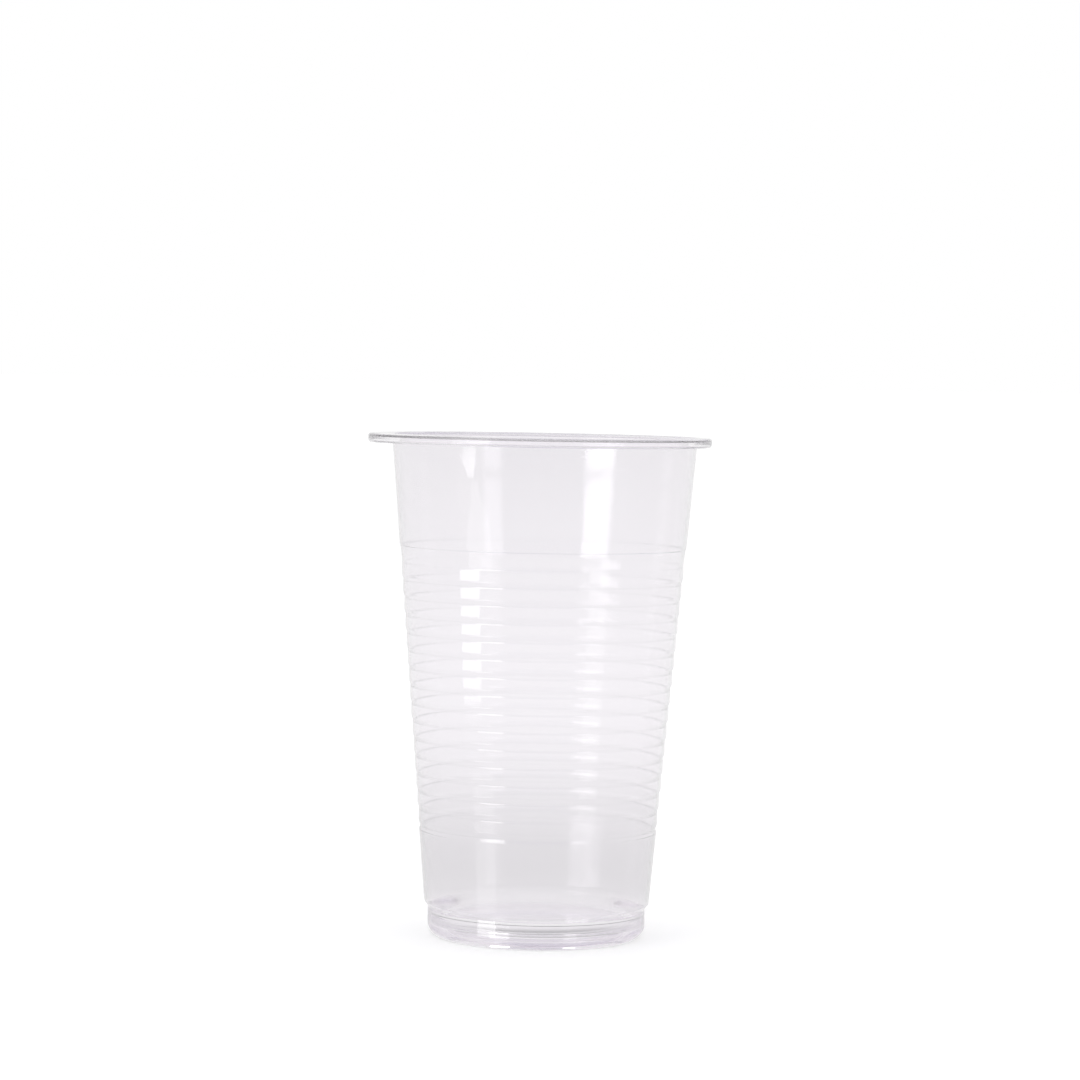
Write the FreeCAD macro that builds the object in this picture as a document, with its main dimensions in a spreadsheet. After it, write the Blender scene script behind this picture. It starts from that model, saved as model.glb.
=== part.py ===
"""Thin-walled drinking cup, formed in one piece from polypropylene sheet.

Row frame: millimetres, +Z up along the cup's axis, origin at the centre of the
ring that the cup stands on. The whole cup is one body of revolution. Its section
is drawn in sketches that meet level at the creases of the wall: the foot with the
smooth band above it, then the stacked rings one by one, then the upper band with
the rolled rim.
"""
import FreeCAD, Part
import os
import re
from math import tan

import Sketcher

# Driving dimensions, in millimetres unless the note says otherwise.
SIZES = [
    ("cup_height", "114", "resting ring to the top of the rim"),
    ("rim_diameter", "78", "across the outside of the rolled rim"),
    ("rim_width", "4.25", "from the wall's line to the outside of the rim"),
    ("rim_depth", "2.1", "top of the rim to the bottom of its lip"),
    ("rim_sheet", "0.45", "thickness of the rim and its lip"),
    ("rim_corner", "0.6", "outside rounding of the rim's top edge"),
    ("lip_bend", "0.6", "outside rounding where the lip turns inwards"),
    ("lip_return", "0.9", "how far the lip reaches back under the rim"),
    ("mouth_bend", "1.0", "rounding under the rim where it leaves the wall"),
    ("wall", "0.4", "wall thickness, measured level"),
    ("upper_band", "25.2", "top of the rim to the fine step in the wall"),
    ("fine_step", "0.14", "how far the wall steps in there"),
    ("fine_step_drop", "0.15", "height of that step"),
    ("ring_depth", "29.1", "top of the rim to the highest crease"),
    ("ring_bottom", "24.9", "height of the lowest crease"),
    ("ring_count", "15", "rings between those two creases, a plain number"),
    ("crease_inset", "0.3", "creases lie this far inside the wall's line"),
    ("ring_swell", "0.06", "how far a ring stands out from the crease above it"),
    ("swell_drop", "0.25", "height over which it does so"),
    ("ring_shoulder", "1.1", "height of the sloping lower edge of a ring"),
    ("shoulder_rounding", "2.0", "rounding where that edge begins"),
    ("groove_drop", "0.8", "height of the way out of the lowest crease"),
    ("foot_diameter", "49.6", "across the foot"),
    ("foot_shoulder", "7.7", "height at which the wall turns in to the foot"),
    ("foot_step", "0.86", "how far the foot stands in from the wall"),
    ("foot_step_drop", "1.1", "height of the slope between them"),
    ("shoulder_bend", "1.0", "rounding at both ends of that slope"),
    ("foot_corner", "2.7", "outside rounding at the bottom of the foot"),
    ("foot_sheet", "0.5", "thickness of the foot's bottom and of the floor"),
    ("foot_ring", "4.4", "width of the ring that the cup stands on"),
    ("riser_lean", "0.7", "how far the ring's inner side leans in as it rises"),
    ("riser_bend", "0.5", "inside rounding at both ends of that side"),
    ("floor_height", "4.3", "resting ring to the top of the floor"),
]
SIZE_NAMES = [name for name, value, note in SIZES]

document = FreeCAD.newDocument("cup")
sheet = document.addObject("Spreadsheet::Sheet", "Sizes")
for row, (name, value, note) in enumerate(SIZES, start=1):
    sheet.set(f"A{row}", name)
    sheet.set(f"B{row}", value)
    sheet.set(f"C{row}", note)
    sheet.setAlias(f"B{row}", name)
document.recompute()


def bound(formula):
    """The formula with each size's name replaced by its cell in the sheet."""
    return re.sub(r"[a-z_]+", lambda word: f"Sizes.{word[0]}" if word[0] in SIZE_NAMES else word[0], formula)


def value_of(formula):
    return float(sheet.evalExpression(bound(formula)))


# The wall's line: one cone from the foot's shoulder to the rim, which the rings
# and steps are measured from.
RIM_RADIUS = "rim_diameter / 2"
FOOT_RADIUS = "foot_diameter / 2"
MOUTH_RADIUS = f"({RIM_RADIUS} - rim_width)"
SHOULDER_RADIUS = f"({FOOT_RADIUS} + foot_step)"
WALL_SLOPE = f"(({MOUTH_RADIUS} - {SHOULDER_RADIUS}) / (cup_height - foot_shoulder))"


def wall_radius(height):
    """Outside radius of the wall's line at a height."""
    return f"({SHOULDER_RADIUS} + (({height}) - foot_shoulder) * {WALL_SLOPE})"


class Section:
    """A closed outline of a body of revolution, given corner by corner.

    A corner is a radius, a height and, where it is rounded, a rounding, each a
    formula in the sheet's sizes. In the sketch a rounded corner is an arc
    tangent to both its sides, and the corner itself stays as a fixed point.
    """

    def __init__(self):
        self.corners = []

    def corner(self, radius, height, rounding=None):
        self.corners.append((radius, height, rounding))

    def draw(self, body, label):
        """Draw the outline in a sketch on the body's XZ plane."""
        sketch = body.newObject("Sketcher::SketchObject", label)
        plane = next(each for each in body.Origin.OriginFeatures if each.Role == "XZ_Plane")
        sketch.AttachmentSupport = [(plane, "")]
        sketch.MapMode = "FlatFace"

        count = len(self.corners)
        places = [
            FreeCAD.Vector(value_of(radius), value_of(height), 0)
            for radius, height, rounding in self.corners
        ]
        entries = []
        exits = []
        arcs = {}
        for index, (radius, height, rounding) in enumerate(self.corners):
            place = places[index]
            if rounding is None:
                entries.append(place)
                exits.append(place)
                continue
            back = (places[index - 1] - place).normalize()
            ahead = (places[(index + 1) % count] - place).normalize()
            size = value_of(rounding)
            half_angle = back.getAngle(ahead) / 2
            reach = size / tan(half_angle)
            entries.append(place + back * reach)
            exits.append(place + ahead * reach)
            middle = (back + ahead).normalize()
            centre = place + middle * (reach ** 2 + size ** 2) ** 0.5
            ends = (entries[-1], exits[-1])
            if back.cross(ahead).z > 0:
                ends = (exits[-1], entries[-1])
            arcs[index] = Part.Arc(ends[0], centre - middle * size, ends[1])

        lines = [
            Part.LineSegment(exits[index], entries[(index + 1) % count])
            for index in range(count)
        ]
        sketch.addGeometry(lines, False)
        ties = []
        formulas = {}

        def tie(formula, *details):
            """Add a measured constraint and keep the formula that drives it."""
            kind, *ends = details
            formulas[len(ties)] = formula
            ties.append(Sketcher.Constraint(kind, *ends, value_of(formula)))

        def fix(element, end, radius, height):
            """Hold a point at its radius and height from the origin."""
            if radius == "0":
                ties.append(Sketcher.Constraint("PointOnObject", element, end, -2))
            else:
                tie(radius, "DistanceX", -1, 1, element, end)
            if height == "0":
                ties.append(Sketcher.Constraint("PointOnObject", element, end, -1))
            else:
                tie(height, "DistanceY", -1, 1, element, end)

        for index, (radius, height, rounding) in enumerate(self.corners):
            line_in = (index - 1) % count
            line_out = index
            if rounding is None:
                ties.append(Sketcher.Constraint("Coincident", line_in, 2, line_out, 1))
                fix(line_out, 1, radius, height)
                continue
            arc = sketch.addGeometry(arcs[index], False)
            first, last = 1, 2
            if (sketch.Geometry[arc].StartPoint - entries[index]).Length > 1e-6:
                first, last = 2, 1
            point = sketch.addGeometry(Part.Point(places[index]), True)
            ties.append(Sketcher.Constraint("Tangent", line_in, 2, arc, first))
            ties.append(Sketcher.Constraint("Tangent", arc, last, line_out, 1))
            tie(rounding, "Radius", arc)
            ties.append(Sketcher.Constraint("PointOnObject", point, 1, line_in))
            ties.append(Sketcher.Constraint("PointOnObject", point, 1, line_out))
            fix(point, 1, radius, height)
        sketch.addConstraint(ties)
        for index, formula in formulas.items():
            sketch.setExpression(f"Constraints[{index}]", bound(formula))
        return sketch


def revolve(body, section, label):
    """Turn a section once round the body's Z axis and add it to the body."""
    sketch = section.draw(body, f"{label}Section")
    feature = body.newObject("PartDesign::Revolution", label)
    feature.Profile = sketch
    feature.ReferenceAxis = (sketch, ["V_Axis"])
    feature.Angle = 360
    sketch.Visibility = False
    return feature


def crease(index):
    """Radius and height of a crease: 0 is the highest, ring_count the lowest."""
    pitch = "((cup_height - ring_depth - ring_bottom) / ring_count)"
    height = f"(ring_bottom + (ring_count - {index}) * {pitch})"
    return f"({wall_radius(height)} - crease_inset)", height


def foot_section():
    """Smooth lower band, step in to the foot, its standing ring and the raised floor."""
    groove_radius, groove_height = crease("ring_count")
    band_top = f"({groove_height} - groove_drop)"
    step_bottom = "foot_shoulder - foot_step_drop"
    ring_inside = f"({FOOT_RADIUS} - foot_ring)"
    floor_edge = f"({ring_inside} - riser_lean)"
    floor_underside = "floor_height - foot_sheet"
    outer_bend = "riser_bend + foot_sheet"
    section = Section()
    section.corner(groove_radius, groove_height)
    section.corner(wall_radius(band_top), band_top)
    section.corner(SHOULDER_RADIUS, "foot_shoulder", "shoulder_bend")
    section.corner(FOOT_RADIUS, step_bottom, "shoulder_bend")
    section.corner(FOOT_RADIUS, "0", "foot_corner")
    section.corner(ring_inside, "0", "riser_bend")
    section.corner(floor_edge, floor_underside, "riser_bend")
    section.corner("0", floor_underside)
    section.corner("0", "floor_height")
    section.corner(f"{floor_edge} + foot_sheet", "floor_height", outer_bend)
    section.corner(f"{ring_inside} + foot_sheet", "foot_sheet", "riser_bend")
    section.corner(f"{FOOT_RADIUS} - wall", "foot_sheet", "foot_corner - foot_sheet")
    section.corner(f"{FOOT_RADIUS} - wall", step_bottom, "shoulder_bend")
    section.corner(f"{SHOULDER_RADIUS} - wall", "foot_shoulder", "shoulder_bend")
    section.corner(f"{wall_radius(band_top)} - wall", band_top)
    section.corner(f"{groove_radius} - wall", groove_height)
    return section


def ring_section(number):
    """One ring of the wall: upright, with a sloping lower edge down to a crease."""
    top_radius, top_height = crease(number - 1)
    bottom_radius, bottom_height = crease(number)
    ring_radius = f"{top_radius} + ring_swell"
    outline = [
        (top_radius, top_height, None),
        (ring_radius, f"{top_height} - swell_drop", None),
        (ring_radius, f"{bottom_height} + ring_shoulder", "shoulder_rounding"),
        (bottom_radius, bottom_height, None),
    ]
    section = Section()
    for radius, height, rounding in outline:
        section.corner(radius, height, rounding)
    for radius, height, rounding in reversed(outline):
        section.corner(f"{radius} - wall", height, rounding)
    return section


def rim_section():
    """Smooth upper band, flange, rounded outer edge and down-turned lip."""
    crease_radius, crease_height = crease(0)
    step = "(cup_height - upper_band)"
    stepped_radius = f"{wall_radius(step)} - fine_step"
    stepped_height = f"{step} - fine_step_drop"
    underside = "cup_height - rim_sheet"
    lip_inside = f"{RIM_RADIUS} - rim_sheet"
    lip_end = f"{RIM_RADIUS} - lip_return"
    lip_bottom = "cup_height - rim_depth"
    section = Section()
    section.corner(crease_radius, crease_height)
    section.corner(stepped_radius, stepped_height)
    section.corner(wall_radius(step), step)
    section.corner(wall_radius(underside), underside, "mouth_bend")
    section.corner(lip_inside, underside, "rim_corner - rim_sheet")
    section.corner(lip_inside, f"{lip_bottom} + rim_sheet", "lip_bend - rim_sheet")
    section.corner(lip_end, f"{lip_bottom} + rim_sheet")
    section.corner(lip_end, lip_bottom)
    section.corner(RIM_RADIUS, lip_bottom, "lip_bend")
    section.corner(RIM_RADIUS, "cup_height", "rim_corner")
    section.corner(f"{MOUTH_RADIUS} - wall", "cup_height", "mouth_bend + rim_sheet")
    section.corner(f"{wall_radius(step)} - wall", step)
    section.corner(f"{stepped_radius} - wall", stepped_height)
    section.corner(f"{crease_radius} - wall", crease_height)
    return section


def make_cup():
    body = document.addObject("PartDesign::Body", "cup")
    body.Label = "cup"
    revolve(body, foot_section(), "Foot")
    for number in range(int(value_of("ring_count")), 0, -1):
        revolve(body, ring_section(number), f"Ring{number:02d}")
    revolve(body, rim_section(), "Rim")
    return body


cup = make_cup()
document.recompute()

for item in document.Objects:
    if "Invalid" in item.State or "Error" in item.State:
        raise RuntimeError(f"{item.Label} failed: {item.State}")
if cup.Shape.isNull() or not cup.Shape.isValid():
    raise RuntimeError("the cup's shape isn't valid")
if len(cup.Shape.Solids) != 1:
    raise RuntimeError(f"the cup has {len(cup.Shape.Solids)} solids")

os.makedirs("parts", exist_ok=True)
cup.Shape.exportStep(f"parts/{cup.Label}.step")
print(f"{cup.Label}: volume {cup.Shape.Volume:.1f} mm3, {len(cup.Shape.Faces)} faces")
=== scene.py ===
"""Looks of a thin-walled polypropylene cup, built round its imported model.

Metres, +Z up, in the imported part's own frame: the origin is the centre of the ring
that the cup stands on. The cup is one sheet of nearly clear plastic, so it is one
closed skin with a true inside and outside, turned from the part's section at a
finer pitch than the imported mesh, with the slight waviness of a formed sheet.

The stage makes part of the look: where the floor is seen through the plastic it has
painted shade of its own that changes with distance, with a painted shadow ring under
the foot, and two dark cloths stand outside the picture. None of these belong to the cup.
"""
from math import ceil, cos, exp, pi, radians, sin, sqrt, tan

import bpy
from mathutils import Matrix, Vector, noise


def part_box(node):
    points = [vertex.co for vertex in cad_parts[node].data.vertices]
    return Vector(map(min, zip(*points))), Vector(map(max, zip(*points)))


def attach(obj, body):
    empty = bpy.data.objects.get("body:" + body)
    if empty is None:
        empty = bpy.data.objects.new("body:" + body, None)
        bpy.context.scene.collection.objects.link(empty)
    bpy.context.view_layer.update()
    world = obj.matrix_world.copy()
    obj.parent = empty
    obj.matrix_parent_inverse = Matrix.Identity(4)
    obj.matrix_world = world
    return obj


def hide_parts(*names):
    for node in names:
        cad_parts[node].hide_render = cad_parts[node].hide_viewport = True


MM = 0.001

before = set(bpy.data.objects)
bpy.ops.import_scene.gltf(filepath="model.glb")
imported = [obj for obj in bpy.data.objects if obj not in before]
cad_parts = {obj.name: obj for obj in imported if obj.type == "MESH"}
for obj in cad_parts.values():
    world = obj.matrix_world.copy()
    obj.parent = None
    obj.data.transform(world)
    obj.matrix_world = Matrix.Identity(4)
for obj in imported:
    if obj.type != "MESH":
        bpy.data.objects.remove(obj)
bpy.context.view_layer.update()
cup_low, cup_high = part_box("cup")

# ---------------------------------------------------------------- section sizes
# Named as in the part's own sheet of sizes, apart from HEIGHT, which is cup_height,
# and the two radii, which are half of rim_diameter and foot_diameter.
HEIGHT = cup_high[2] - cup_low[2]
RIM_RADIUS = (cup_high[0] - cup_low[0]) / 2
RIM_WIDTH = 4.25 * MM
RIM_DEPTH = 2.1 * MM
RIM_SHEET = 0.45 * MM
RIM_CORNER = 0.6 * MM
LIP_BEND = 0.6 * MM
LIP_RETURN = 0.9 * MM
MOUTH_BEND = 1.0 * MM

WALL = 0.4 * MM
UPPER_BAND = 25.2 * MM
FINE_STEP = 0.14 * MM
FINE_STEP_DROP = 0.15 * MM

RING_DEPTH = 29.1 * MM
RING_BOTTOM = 24.9 * MM
RING_COUNT = 15
CREASE_INSET = 0.3 * MM
RING_SWELL = 0.06 * MM
SWELL_DROP = 0.25 * MM
RING_SHOULDER = 1.1 * MM
SHOULDER_ROUNDING = 2.0 * MM
GROOVE_DROP = 0.8 * MM

FOOT_RADIUS = 24.8 * MM
FOOT_SHOULDER = 7.7 * MM
FOOT_STEP = 0.86 * MM
FOOT_STEP_DROP = 1.1 * MM
SHOULDER_BEND = 1.0 * MM
FOOT_CORNER = 2.7 * MM
FOOT_SHEET = 0.5 * MM
FOOT_RING = 4.4 * MM
RISER_LEAN = 0.7 * MM
RISER_BEND = 0.5 * MM
FLOOR_HEIGHT = 4.3 * MM

MOUTH_RADIUS = RIM_RADIUS - RIM_WIDTH
SHOULDER_RADIUS = FOOT_RADIUS + FOOT_STEP
WALL_SLOPE = (MOUTH_RADIUS - SHOULDER_RADIUS) / (HEIGHT - FOOT_SHOULDER)

# --------------------------------- softened edges and marks of this one copy
TRIM_OFFSET = 1.1 * MM      # how far the flange stands to -X
EASE = 0.08 * MM            # rounding of the wall's creases and the lip's cut edge, sharp in the part
FINE_EASE = 0.03 * MM       # rounding of the fine step, sharp in the part too

BULGE_ANGLE = radians(243)  # from +X, counterclockwise from above
BULGE_LEVEL = 104 * MM
BULGE_WIDTH = 2.8 * MM
BULGE_HEIGHT = 5 * MM
BULGE_RISE = 0.45 * MM      # outwards

WAVE_RISE = 0.05 * MM       # the most that the wall wavers in or out
WAVE_ROUND = 1.6            # the wall's radius in the noise that shapes it
WAVE_PITCH = 22 * MM        # height of one unit of that noise
WAVE_BOTTOM = 10 * MM       # height below which there is none
WAVE_FADE_UP = 20 * MM      # height over which it grows
WAVE_TOP_GAP = 1 * MM       # none this close to the top of the rim
WAVE_FADE_DOWN = 6 * MM     # height over which it dies out below that

# ------------------------------------------------------------------------- mesh
SEGMENTS = 186              # round the cup
FINE_ARC = radians(8)       # largest turn between two points of a wide bend
CREASE_ARC = radians(22)    # and of a crease
LONGEST_RUN = 2.5 * MM      # between two points of a straight run
ON_AXIS = 1e-9              # a point nearer to the axis than this lies on it

# ---------------------------------------------------------------------- plastic
REFRACTION = 1.49
SKIN_TINT = (0.965, 0.952, 0.970, 1)
BODY_TINT = (0.5, 0.45, 0.53, 1)
BODY_DENSITY = 6.0
HAZE = (                    # height, roughness of the skin
    (0.0 * MM, 0.035),
    (7.2 * MM, 0.035),
    (9.0 * MM, 0.100),
    (24.0 * MM, 0.110),
    (30.0 * MM, 0.075),
    (84.0 * MM, 0.075),
    (90.0 * MM, 0.090),
    (HEIGHT - 4.0 * MM, 0.090),
    (HEIGHT, 0.050),
)
PATCH_SCALE = 90
PATCH_DETAIL = 3
PATCH_LEAST = 0.8           # the haze is multiplied by this to PATCH_MOST, in patches
PATCH_MOST = 1.2
GRAIN_SCALE = 300
GRAIN_DETAIL = 2
GRAIN_STRENGTH = 0.3
GRAIN_DEPTH = 0.01 * MM

# ------------------------------------------------------------------------ stage
FLOOR_HALF = 40.0
FLOOR_GREY = 0.85
FLOOR_LIFT = 0.46           # light added to the floor so that it reads as white
FLOOR_PAINTED_SHADE = (             # distance from SHADOW_MIDDLE, painted brightness and shade of the floor seen through the plastic
    (0.0000, 0.93),
    (0.0168, 0.93),
    (0.0180, 0.40),         # painted shadow ring under the foot
    (0.0199, 0.48),
    (0.0203, 0.93),
    (0.0235, 0.90),
    (0.040, 0.87),
    (0.100, 0.785),
    (0.155, 0.80),
    (0.240, 0.88),
    (0.340, 0.95),
    (0.480, 1.00),
    (0.800, 1.00),
    (1.300, 0.965),
    (2.900, 0.945),
    (4.000, 0.90),
)
NEARNESS = 0.25             # power that spreads the small distances over the ramp
SHADOW_MIDDLE = Vector((0.0003, -0.0003, 0))    # centre of that painted shade, set by trial

TENT = 0.93                 # the world's light in gloss and through the plastic
FILL = 0.75                 # and on the floor and cloths

LAMP_DISTANCE = 1.4
# Name, azimuth, elevation, width and height in degrees, radiance, distance, level.
SOFTBOXES = (
    ("left_window", -45.25, 14.5, 23.5, 16, 3.4, LAMP_DISTANCE, HEIGHT / 2),
    ("left_glow", -44.5, 4.5, 16, 6, 0.55, LAMP_DISTANCE, HEIGHT / 2),
    ("left_glow_edge", -44.5, 4.5, 33, 6, 0.45, LAMP_DISTANCE, HEIGHT / 2),
    ("right_glow", 46.5, -4.5, 17, 9, 1.15, LAMP_DISTANCE, HEIGHT / 2),
    ("left_card", -60.5, -3.4, 18, 4.4, 3.4, LAMP_DISTANCE, HEIGHT / 2),
    ("left_shelf", -46.5, 1.0, 26, 5, 1.6, LAMP_DISTANCE, HEIGHT / 2),
    ("left_low", -52, -14, 20, 12, 1.3, LAMP_DISTANCE, HEIGHT / 2),
    ("left_sill", -52, -8.8, 20, 2.6, 3.3, 0.35, 4 * MM),
    ("right_window", 42.5, 15, 15, 18, 1.75, LAMP_DISTANCE, HEIGHT / 2),
)
# Name, left, right, low, high, place along Y, tone.
CLOTHS = (
    ("dark_front", -0.9, 1.5, 0.27, 2.6, -1.3, (0.6, 0.58, 0.65)),
    ("dark_back", -0.15, 0.90, 0.42, 1.80, 1.5, (0.74, 0.72, 0.78)),
)
CLOTH_ROUGHNESS = 0.9

EYE_DISTANCE = 0.8
EYE_RISE = radians(1.0)     # above the rim's level
EYE_ROLL = radians(1.07)
VIEW_WIDTH = 0.2456         # across the picture at the cup
AIM = Vector((-0.0007, 0, 0.0902))
SENSOR_WIDTH = 36
PATH_BOUNCES = 400          # light crosses the thin skins many times
DIFFUSE_BOUNCES = 8


# ---------------------------------------------------------------------- section
def wall_radius(height):
    """Outside radius of the wall's line at a height."""
    return SHOULDER_RADIUS + (height - FOOT_SHOULDER) * WALL_SLOPE


def crease(index):
    """Radius and height of a crease: 0 is the highest, RING_COUNT the lowest."""
    pitch = (HEIGHT - RING_DEPTH - RING_BOTTOM) / RING_COUNT
    height = RING_BOTTOM + (RING_COUNT - index) * pitch
    return wall_radius(height) - CREASE_INSET, height


def wall_corners():
    """Outside of the wall from the upper band's fine step down to the foot."""
    step = HEIGHT - UPPER_BAND
    corners = [
        (wall_radius(step), step, FINE_EASE),
        (wall_radius(step) - FINE_STEP, step - FINE_STEP_DROP, FINE_EASE),
        (*crease(0), EASE),
    ]
    for ring in range(RING_COUNT):
        radius, top = crease(ring)
        end_radius, bottom = crease(ring + 1)
        corners += [
            (radius + RING_SWELL, top - SWELL_DROP, EASE),
            (radius + RING_SWELL, bottom + RING_SHOULDER, SHOULDER_ROUNDING),
            (end_radius, bottom, EASE),
        ]
    band_top = RING_BOTTOM - GROOVE_DROP
    corners += [
        (wall_radius(band_top), band_top, EASE),
        (SHOULDER_RADIUS, FOOT_SHOULDER, SHOULDER_BEND),
        (FOOT_RADIUS, FOOT_SHOULDER - FOOT_STEP_DROP, SHOULDER_BEND),
    ]
    return corners


def section_corners():
    """The whole section, once round: down the outside, up the inside, over the rim."""
    wall = wall_corners()
    underside = HEIGHT - RIM_SHEET
    lip_bottom = HEIGHT - RIM_DEPTH
    ring_inside = FOOT_RADIUS - FOOT_RING
    floor_edge = ring_inside - RISER_LEAN
    corners = [(wall_radius(underside), underside, MOUTH_BEND)]
    corners += wall
    corners += [
        (FOOT_RADIUS, 0, FOOT_CORNER),
        (ring_inside, 0, RISER_BEND),
        (floor_edge, FLOOR_HEIGHT - FOOT_SHEET, RISER_BEND),
        (0, FLOOR_HEIGHT - FOOT_SHEET, None),
        (0, FLOOR_HEIGHT, None),
        (floor_edge + FOOT_SHEET, FLOOR_HEIGHT, RISER_BEND + FOOT_SHEET),
        (ring_inside + FOOT_SHEET, FOOT_SHEET, RISER_BEND),
        (FOOT_RADIUS - WALL, FOOT_SHEET, FOOT_CORNER - FOOT_SHEET),
    ]
    corners += [(radius - WALL, height, rounding) for radius, height, rounding in reversed(wall)]
    corners += [
        (MOUTH_RADIUS - WALL, HEIGHT, MOUTH_BEND + RIM_SHEET),
        (RIM_RADIUS, HEIGHT, RIM_CORNER),
        (RIM_RADIUS, lip_bottom, LIP_BEND),
        (RIM_RADIUS - LIP_RETURN, lip_bottom, EASE),
        (RIM_RADIUS - LIP_RETURN, lip_bottom + RIM_SHEET, EASE),
        (RIM_RADIUS - RIM_SHEET, lip_bottom + RIM_SHEET, LIP_BEND - RIM_SHEET),
        (RIM_RADIUS - RIM_SHEET, underside, RIM_CORNER - RIM_SHEET),
    ]
    return corners


def rounded(corners):
    """Points of a closed outline whose corners are replaced by tangent arcs."""
    points = []
    count = len(corners)
    places = [Vector((radius, height)) for radius, height, rounding in corners]
    for index, (radius, height, rounding) in enumerate(corners):
        place = places[index]
        if rounding is None:
            points.append(place)
            continue
        back = (places[index - 1] - place).normalized()
        ahead = (places[(index + 1) % count] - place).normalized()
        half_angle = back.angle(ahead) / 2
        turn = pi - 2 * half_angle
        reach = rounding / tan(half_angle)
        steps = max(1, ceil(turn / (CREASE_ARC if rounding <= EASE else FINE_ARC)))
        centre = place + (back + ahead).normalized() * sqrt(reach ** 2 + rounding ** 2)
        start = place + back * reach - centre
        side = 1 if start.x * ahead.y - start.y * ahead.x > 0 else -1
        for step in range(steps + 1):
            angle = side * turn * step / steps
            points.append(centre + Matrix.Rotation(angle, 2) @ start)
    return points


def long_runs_divided(points, longest):
    """The outline with its long straight runs cut into pieces."""
    divided = []
    for index, point in enumerate(points):
        divided.append(point)
        following = points[(index + 1) % len(points)]
        cuts = int((following - point).length / longest)
        for cut in range(1, cuts + 1):
            divided.append(point.lerp(following, cut / (cuts + 1)))
    return divided


# ----------------------------------------------------------------- turned piece
def waviness(angle, height):
    """How far the formed wall stands off its true line, the same inside and out."""
    fade_up = max(0, (height - WAVE_BOTTOM) / WAVE_FADE_UP)
    fade_down = max(0, (HEIGHT - WAVE_TOP_GAP - height) / WAVE_FADE_DOWN)
    fade = min(1, fade_up, fade_down)
    place = Vector((cos(angle) * WAVE_ROUND, sin(angle) * WAVE_ROUND, height / WAVE_PITCH))
    aside = (angle - BULGE_ANGLE) * MOUTH_RADIUS / BULGE_WIDTH
    above = (height - BULGE_LEVEL) / BULGE_HEIGHT
    bulge = BULGE_RISE * exp(-aside * aside - above * above)
    return fade * (WAVE_RISE * noise.noise(place) + bulge)


def trim_offset(point):
    """How far the flange stands to -X, because the rim was trimmed off centre."""
    share = min(1, max(0, (point.x - MOUTH_RADIUS) / (RIM_WIDTH - RIM_CORNER)))
    return TRIM_OFFSET * share * share * (3 - 2 * share)


def keep_bands_flat(mesh):
    """Smooth shading in which a wide band counts for more than the narrow bend beside it."""
    normals = [Vector() for vertex in mesh.vertices]
    for face in mesh.polygons:
        for index in face.vertices:
            normals[index] += face.normal * face.area
    mesh.normals_split_custom_set_from_vertices([normal.normalized() for normal in normals])


def placed(name, data):
    """A new object in the scene."""
    thing = bpy.data.objects.new(name, data)
    bpy.context.collection.objects.link(thing)
    return thing


def turned(name, outline):
    """A closed mesh of the outline turned once round the Z axis."""
    vertices = []
    rows = []
    for point in outline:
        if point.x < ON_AXIS:
            rows.append([len(vertices)] * SEGMENTS)
            vertices.append((0, 0, point.y))
            continue
        rows.append(list(range(len(vertices), len(vertices) + SEGMENTS)))
        for segment in range(SEGMENTS):
            angle = 2 * pi * segment / SEGMENTS
            radius = point.x + waviness(angle, point.y)
            vertices.append((radius * cos(angle) - trim_offset(point), radius * sin(angle), point.y))
    faces = []
    for row, following in zip(rows, rows[1:] + rows[:1]):
        for segment in range(SEGMENTS):
            ahead = (segment + 1) % SEGMENTS
            corners = [row[segment], following[segment], following[ahead], row[ahead]]
            face = list(dict.fromkeys(corners))
            if len(face) > 2:
                faces.append(face)
    mesh = bpy.data.meshes.new(name)
    mesh.from_pydata(vertices, [], faces)
    mesh.validate()
    mesh.shade_smooth()
    mesh.update()
    keep_bands_flat(mesh)
    return placed(name, mesh)


# -------------------------------------------------------------------- materials
def empty_tree(owner):
    """Nodes and links of a material or world whose nodes have been cleared."""
    owner.use_nodes = True
    owner.node_tree.nodes.clear()
    return owner.node_tree.nodes, owner.node_tree.links


def math_node(nodes, operation):
    node = nodes.new("ShaderNodeMath")
    node.operation = operation
    return node


def noise_node(nodes, scale, detail):
    node = nodes.new("ShaderNodeTexNoise")
    node.inputs["Scale"].default_value = scale
    node.inputs["Detail"].default_value = detail
    return node


def grey_ramp(nodes, stops):
    """A colour ramp through greys, each stop a position and a grey."""
    ramp = nodes.new("ShaderNodeValToRGB")
    steps = ramp.color_ramp.elements
    while len(steps) < len(stops):
        steps.new(0.5)
    for step, (position, grey) in zip(steps, stops):
        step.position = position
        step.color = (grey, grey, grey, 1)
    return ramp


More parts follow.
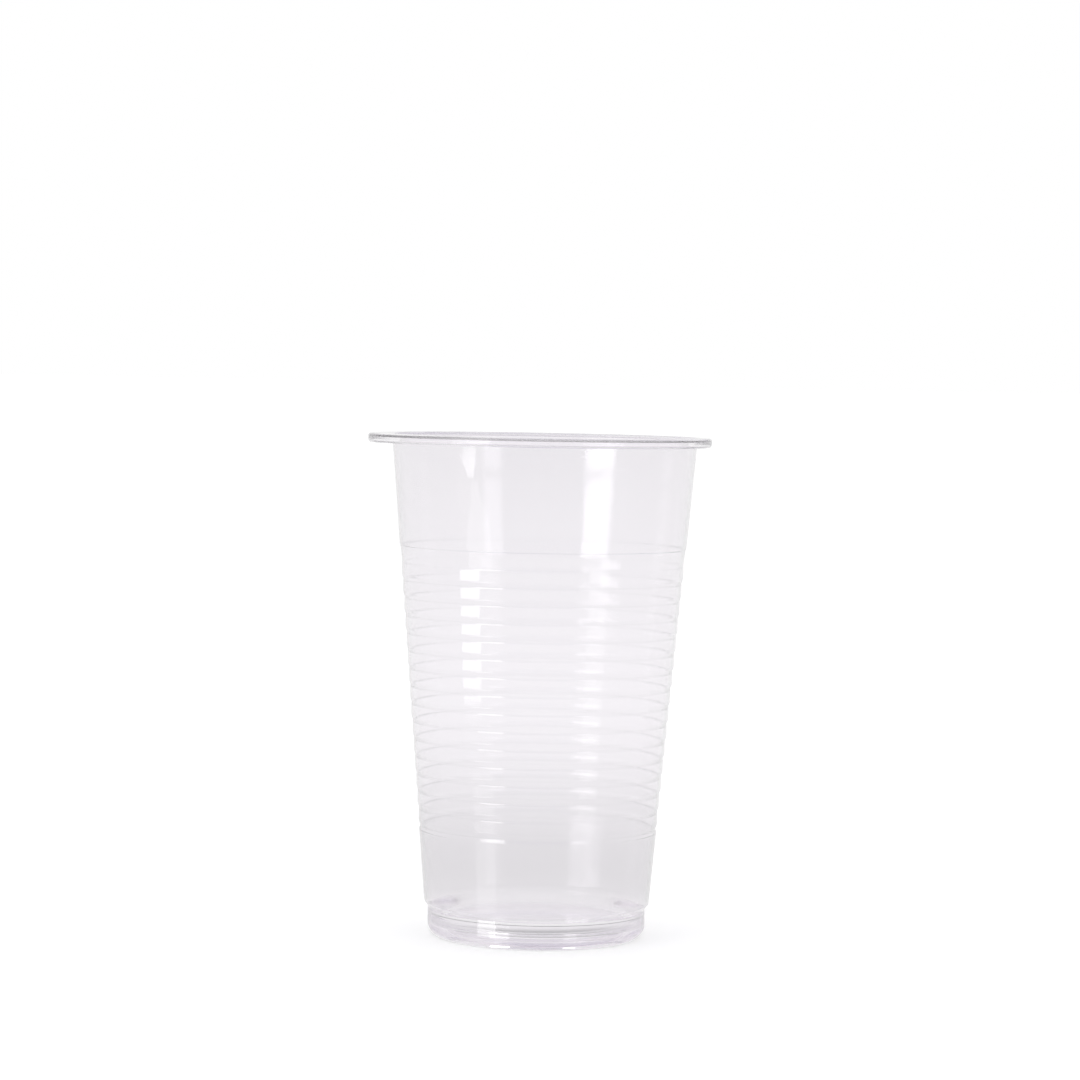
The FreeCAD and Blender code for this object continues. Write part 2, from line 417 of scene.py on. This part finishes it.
def polypropylene():
    """Nearly clear natural polypropylene: glossy skin, faint haze, lavender-grey body."""
    material = bpy.data.materials.new("polypropylene")
    nodes, links = empty_tree(material)
    output = nodes.new("ShaderNodeOutputMaterial")
    shader = nodes.new("ShaderNodeBsdfPrincipled")
    shader.inputs["IOR"].default_value = REFRACTION
    shader.inputs["Transmission Weight"].default_value = 1.0
    shader.inputs["Base Color"].default_value = SKIN_TINT
    place = nodes.new("ShaderNodeTexCoord")
    # The roughness goes by height: glossiest at the foot, haziest in the lower band.
    spot = nodes.new("ShaderNodeSeparateXYZ")
    links.new(place.outputs["Object"], spot.inputs[0])
    level = math_node(nodes, "DIVIDE")
    links.new(spot.outputs["Z"], level.inputs[0])
    level.inputs[1].default_value = HEIGHT
    haze = grey_ramp(nodes, [(height / HEIGHT, rough) for height, rough in HAZE])
    links.new(level.outputs[0], haze.inputs["Fac"])
    # Patches make it a little more or less.
    cloud = noise_node(nodes, PATCH_SCALE, PATCH_DETAIL)
    links.new(place.outputs["Object"], cloud.inputs["Vector"])
    patchy = nodes.new("ShaderNodeMapRange")
    patchy.inputs["To Min"].default_value = PATCH_LEAST
    patchy.inputs["To Max"].default_value = PATCH_MOST
    links.new(cloud.outputs["Fac"], patchy.inputs["Value"])
    gloss = math_node(nodes, "MULTIPLY")
    links.new(haze.outputs["Color"], gloss.inputs[0])
    links.new(patchy.outputs["Result"], gloss.inputs[1])
    links.new(gloss.outputs[0], shader.inputs["Roughness"])
    # A fine grain in the skin's relief.
    grain = noise_node(nodes, GRAIN_SCALE, GRAIN_DETAIL)
    links.new(place.outputs["Object"], grain.inputs["Vector"])
    relief = nodes.new("ShaderNodeBump")
    relief.inputs["Strength"].default_value = GRAIN_STRENGTH
    relief.inputs["Distance"].default_value = GRAIN_DEPTH
    links.new(grain.outputs["Fac"], relief.inputs["Height"])
    links.new(relief.outputs["Normal"], shader.inputs["Normal"])
    links.new(shader.outputs["BSDF"], output.inputs["Surface"])
    body = nodes.new("ShaderNodeVolumeAbsorption")
    body.inputs["Color"].default_value = BODY_TINT
    body.inputs["Density"].default_value = BODY_DENSITY
    links.new(body.outputs["Volume"], output.inputs["Volume"])
    return material


def white_floor():
    """Pale floor: white to the eye with the cup's shadow on it, painted shade where it is seen through the
    plastic, and no mirror image of itself in gloss.
    """
    material = bpy.data.materials.new("floor_white")
    nodes, links = empty_tree(material)
    output = nodes.new("ShaderNodeOutputMaterial")
    rays = nodes.new("ShaderNodeLightPath")
    diffuse = nodes.new("ShaderNodeBsdfDiffuse")
    diffuse.inputs["Color"].default_value = (FLOOR_GREY, FLOOR_GREY, FLOOR_GREY, 1)
    lift = nodes.new("ShaderNodeEmission")
    lift.inputs["Strength"].default_value = FLOOR_LIFT
    lit = nodes.new("ShaderNodeAddShader")
    links.new(diffuse.outputs[0], lit.inputs[0])
    links.new(lift.outputs[0], lit.inputs[1])
    # Seen through the plastic, the floor's brightness is painted shade set by distance, as the table above
    # says, with a painted shadow ring under the foot.
    position = nodes.new("ShaderNodeNewGeometry")
    distance = nodes.new("ShaderNodeVectorMath")
    distance.operation = "DISTANCE"
    links.new(position.outputs["Position"], distance.inputs[0])
    distance.inputs[1].default_value = SHADOW_MIDDLE
    farthest = FLOOR_PAINTED_SHADE[-1][0]
    share = math_node(nodes, "DIVIDE")
    links.new(distance.outputs["Value"], share.inputs[0])
    share.inputs[1].default_value = farthest
    root = math_node(nodes, "POWER")
    links.new(share.outputs[0], root.inputs[0])
    root.inputs[1].default_value = NEARNESS
    white = grey_ramp(nodes, [((reach / farthest) ** NEARNESS, tone) for reach, tone in FLOOR_PAINTED_SHADE])
    links.new(root.outputs[0], white.inputs["Fac"])
    through = nodes.new("ShaderNodeEmission")
    links.new(white.outputs["Color"], through.inputs["Color"])
    seen = nodes.new("ShaderNodeMixShader")
    links.new(rays.outputs["Is Transmission Ray"], seen.inputs["Fac"])
    links.new(lit.outputs[0], seen.inputs[1])
    links.new(through.outputs[0], seen.inputs[2])
    mirrored = math_node(nodes, "SUBTRACT")
    mirrored.use_clamp = True
    links.new(rays.outputs["Is Glossy Ray"], mirrored.inputs[0])
    links.new(rays.outputs["Is Transmission Ray"], mirrored.inputs[1])
    clear = nodes.new("ShaderNodeBsdfTransparent")
    choice = nodes.new("ShaderNodeMixShader")
    links.new(mirrored.outputs[0], choice.inputs["Fac"])
    links.new(seen.outputs[0], choice.inputs[1])
    links.new(clear.outputs[0], choice.inputs[2])
    links.new(choice.outputs[0], output.inputs["Surface"])
    return material


def studio_world():
    """White to the eye; to everything else an even, nearly white tent."""
    world = bpy.data.worlds.new("studio")
    bpy.context.scene.world = world
    nodes, links = empty_tree(world)
    output = nodes.new("ShaderNodeOutputWorld")
    white = nodes.new("ShaderNodeBackground")
    white.inputs["Color"].default_value = (1, 1, 1, 1)
    tent = nodes.new("ShaderNodeBackground")
    rays = nodes.new("ShaderNodeLightPath")
    strength = nodes.new("ShaderNodeMix")
    links.new(rays.outputs["Is Diffuse Ray"], strength.inputs["Factor"])
    strength.inputs[2].default_value = TENT
    strength.inputs[3].default_value = FILL
    links.new(strength.outputs["Result"], tent.inputs["Strength"])
    tent.inputs["Color"].default_value = (1, 1, 1, 1)
    choice = nodes.new("ShaderNodeMixShader")
    links.new(rays.outputs["Is Camera Ray"], choice.inputs["Fac"])
    links.new(tent.outputs[0], choice.inputs[1])
    links.new(white.outputs[0], choice.inputs[2])
    links.new(choice.outputs[0], output.inputs["Surface"])


# ----------------------------------------------------------------- stage, lights
def floor():
    """The plain floor that the cup stands on."""
    mesh = bpy.data.meshes.new("floor")
    corners = [
        (-FLOOR_HALF, -FLOOR_HALF, 0),
        (FLOOR_HALF, -FLOOR_HALF, 0),
        (FLOOR_HALF, FLOOR_HALF, 0),
        (-FLOOR_HALF, FLOOR_HALF, 0),
    ]
    mesh.from_pydata(corners, [], [(0, 1, 2, 3)])
    mesh.materials.append(white_floor())
    plane = placed("floor", mesh)


def softbox(name, azimuth, elevation, width, height, radiance, distance, level):
    """A rectangular lamp that faces the cup's axis at a level.

    Its place and size are in degrees as seen from there, azimuth from the
    camera's side with + to the right.
    """
    lamp = bpy.data.lights.new(name, "AREA")
    lamp.shape = "RECTANGLE"
    lamp.size = 2 * distance * tan(radians(width / 2))
    lamp.size_y = 2 * distance * tan(radians(height / 2))
    lamp.energy = radiance * pi * lamp.size * lamp.size_y
    holder = placed(name, lamp)
    outward = Vector((
        sin(radians(azimuth)) * cos(radians(elevation)),
        -cos(radians(azimuth)) * cos(radians(elevation)),
        sin(radians(elevation)),
    ))
    holder.location = Vector((0, 0, level)) + outward * distance
    holder.rotation_euler = (-outward).to_track_quat("-Z", "Y").to_euler()


def dark_cloth(name, left, right, low, high, depth, tone):
    """Upright cloth that the cup sees and the camera does not."""
    mesh = bpy.data.meshes.new(name)
    corners = [(left, depth, low), (right, depth, low), (right, depth, high), (left, depth, high)]
    mesh.from_pydata(corners, [], [(0, 1, 2, 3)])
    material = bpy.data.materials.new(name)
    material.use_nodes = True
    shader = material.node_tree.nodes["Principled BSDF"]
    shader.inputs["Base Color"].default_value = (*tone, 1)
    shader.inputs["Roughness"].default_value = CLOTH_ROUGHNESS
    mesh.materials.append(material)
    cloth = placed(name, mesh)
    cloth.visible_camera = False


def camera():
    """A little above the rim's level, rolled one degree as the view is."""
    eye_height = HEIGHT + EYE_DISTANCE * tan(EYE_RISE)
    data = bpy.data.cameras.new("camera")
    data.sensor_width = SENSOR_WIDTH
    holder = placed("camera", data)
    holder.location = (0, -EYE_DISTANCE, eye_height)
    line = AIM - holder.location
    data.lens = data.sensor_width * line.length / VIEW_WIDTH
    roll = Matrix.Rotation(EYE_ROLL, 4, "Z")
    turn = line.to_track_quat("-Z", "Y").to_matrix().to_4x4() @ roll
    holder.rotation_euler = turn.to_euler()
    bpy.context.scene.camera = holder


# ------------------------------------------------------------------------ build
cup = turned("cup_skin", long_runs_divided(rounded(section_corners()), LONGEST_RUN))
cup.data.materials.append(polypropylene())
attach(cup, "root")
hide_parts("cup")

floor()
studio_world()
for box in SOFTBOXES:
    softbox(*box)
for cloth in CLOTHS:
    dark_cloth(*cloth)
camera()

paths = bpy.context.scene.cycles
paths.max_bounces = PATH_BOUNCES
paths.transmission_bounces = PATH_BOUNCES
paths.glossy_bounces = PATH_BOUNCES
paths.diffuse_bounces = DIFFUSE_BOUNCES
bpy.context.scene.view_settings.view_transform = "Standard"
